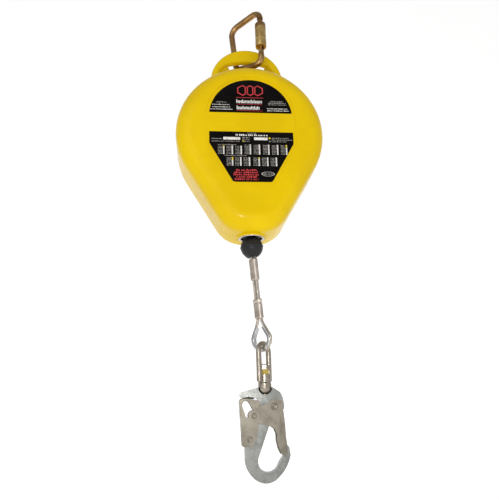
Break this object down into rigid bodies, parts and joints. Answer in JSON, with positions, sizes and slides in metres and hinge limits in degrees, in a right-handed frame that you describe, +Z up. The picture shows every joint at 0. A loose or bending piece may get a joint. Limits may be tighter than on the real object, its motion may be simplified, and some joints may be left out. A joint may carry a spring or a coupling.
{
  "type": "self retracting lifeline",
  "caption": "Hanging fall arrest block: yellow housing with a spring-driven wire rope drum, a twist-lock carabiner above and a swivelling snap hook below.",
  "frame": {"origin": "where the anchor bears on the inside of the carabiner's crown, on the load line", "axes": "+Z up along the hanging load line, labelled front towards -Y, +X to the right of the front"},
  "size_m": [0.226, 0.095, 0.7318],
  "materials": {
    "gold_steel": "yellow zinc dichromate plated steel, satin",
    "gold_sleeve": "yellow zinc plated, knurled",
    "yellow_shell": "moulded yellow, glossy",
    "yellow_handle": "moulded yellow over steel",
    "label": "printed black film with plain pale and red marks",
    "ring_steel": "polished ring",
    "black_plastic": "moulded black",
    "rubber": "black rubber",
    "aluminium": "pressed sleeve, satin",
    "wire_rope": "galvanised strands",
    "bright_zinc": "bright zinc plated",
    "zinc_steel": "zinc plated forging",
    "hook_steel": "zinc plated forging, bluish",
    "warm_steel": "zinc plated stamping, warm grey",
    "indicator_yellow": "yellow band",
    "frame_steel": "grey painted plate",
    "bright_steel": "turned steel",
    "cast_drum": "cast aluminium",
    "brass": "turned brass",
    "bronze": "sintered bronze",
    "spring_steel": "blued spring steel",
    "brake_lining": "pressed lining",
    "black_steel": "blackened screws"
  },
  "bodies": {
    "carabiner": {"carabiner_body": "gold_steel", "carabiner_gate_pin": "gold_sleeve"},
    "carabiner_gate": {"carabiner_gate": "gold_steel"},
    "twist_sleeve": {"carabiner_sleeve": "gold_sleeve"},
    "housing": {"front_cover": "yellow_shell", "rear_cover": "yellow_shell", "anchor_handle": "yellow_handle", "label_upper": "label", "label_lower": "label", "nozzle_ring": "ring_steel", "rope_guide": "black_plastic", "rope_lead": "wire_rope", "rope_run": "wire_rope", "frame_plate_front": "frame_steel", "frame_plate_rear": "frame_steel", "frame_spacers": "bright_steel", "frame_bolt": "bright_steel", "handle_bolts": "bright_steel", "shaft_bushes": "bronze", "ratchet_ring": "bright_steel", "brake_back_plate": "frame_steel", "brake_discs": "brake_lining", "pressure_plate": "frame_steel", "clamp_screws": "black_steel", "spring_case": "frame_steel", "power_spring": "spring_steel", "cover_inserts": "brass", "cover_screws": "black_steel"},
    "drum": {"drum": "cast_drum", "drum_flange": "cast_drum", "rope_wound": "wire_rope", "main_shaft": "bright_steel", "shaft_nut": "bright_steel", "spring_arbor": "bright_steel", "pawl_carrier": "bright_steel", "pawl_pins": "bright_steel"},
    "pawl_1": {"pawl_1": "bright_steel"},
    "pawl_2": {"pawl_2": "bright_steel"},
    "pawl_3": {"pawl_3": "bright_steel"},
    "rope_line": {"ball_bumper": "rubber", "ferrule_upper": "aluminium", "ferrule_lower": "aluminium", "rope_end": "wire_rope", "thimble": "bright_zinc"},
    "swivel": {"swivel_bow": "zinc_steel"},
    "hook": {"hook_body": "hook_steel", "swivel_stud": "zinc_steel", "swivel_nut": "bright_zinc", "load_indicator": "indicator_yellow", "gate_rivet": "warm_steel", "lever_rivet": "warm_steel", "gate_spring": "spring_steel", "lever_spring": "spring_steel"},
    "hook_gate": {"hook_gate": "warm_steel", "tail_rivet": "warm_steel"},
    "lock_lever": {"lock_lever": "warm_steel"}
  },
  "joints": [
    {"name": "carabiner_gate_hinge", "type": "hinge", "parent": "carabiner", "child": "carabiner_gate", "pos_m": [0.02336, -0.01961, -0.069], "axis": [-0.6428, -0.766, 0], "range_deg": [0, 24], "stiffness_Nm_per_rad": 0.05, "springref_deg": -28.65},
    {"name": "sleeve_twist", "type": "hinge", "parent": "carabiner_gate", "child": "twist_sleeve", "pos_m": [0.02336, -0.01961, -0.043], "axis": [0, 0, 1], "range_deg": [0, 90], "stiffness_Nm_per_rad": 0.01, "springref_deg": -28.65},
    {"name": "housing_swing", "type": "hinge", "parent": "carabiner", "child": "housing", "pos_m": [0, 0, -0.0727], "axis": [1, 0, 0], "range_deg": [-15, 15]},
    {"name": "line_payout", "type": "slide", "parent": "housing", "child": "rope_line", "axis": [0, 0, -1], "range_m": [0, 0.3], "stiffness_N_per_m": 20, "springref_m": -1},
    {"name": "drum_spin", "type": "hinge", "parent": "housing", "child": "drum", "pos_m": [0, 0, -0.223], "axis": [0, 1, 0], "range_deg": [-5, 240], "deforming": ["power_spring"]},
    {"name": "bow_swing", "type": "hinge", "parent": "rope_line", "child": "swivel", "pos_m": [0.012, 0, -0.5386], "axis": [0.6428, 0.766, 0], "range_deg": [-60, 60]},
    {"name": "hook_spin", "type": "hinge", "parent": "swivel", "child": "hook", "pos_m": [0.012, 0, -0.588], "axis": [0, 0, 1], "continuous": true},
    {"name": "hook_gate_hinge", "type": "hinge", "parent": "hook", "child": "hook_gate", "pos_m": [0.0228, 0, -0.6234], "axis": [0, 1, 0], "range_deg": [0, 25], "stiffness_Nm_per_rad": 0.08, "springref_deg": -28.65},
    {"name": "lever_squeeze", "type": "hinge", "parent": "hook", "child": "lock_lever", "pos_m": [-0.0114, 0, -0.6642], "axis": [0, 1, 0], "range_deg": [0, 10]},
    {"name": "pawl_1_tilt", "type": "hinge", "parent": "drum", "child": "pawl_1", "pos_m": [0, 0, -0.203], "axis": [0, 1, 0], "range_deg": [-8, 8], "stiffness_Nm_per_rad": 0.02},
    {"name": "pawl_2_tilt", "type": "hinge", "parent": "drum", "child": "pawl_2", "pos_m": [-0.01732, 0, -0.233], "axis": [0, 1, 0], "range_deg": [-8, 8], "stiffness_Nm_per_rad": 0.02},
    {"name": "pawl_3_tilt", "type": "hinge", "parent": "drum", "child": "pawl_3", "pos_m": [0.01732, 0, -0.233], "axis": [0, 1, 0], "range_deg": [-8, 8], "stiffness_Nm_per_rad": 0.02}
  ],
  "couplings": [
    {"joint": "drum_spin", "follows": "line_payout", "rad_per_m": 13.624},
    {"joint": "lever_squeeze", "follows": "hook_gate_hinge", "ratio": 0.4}
  ]
}
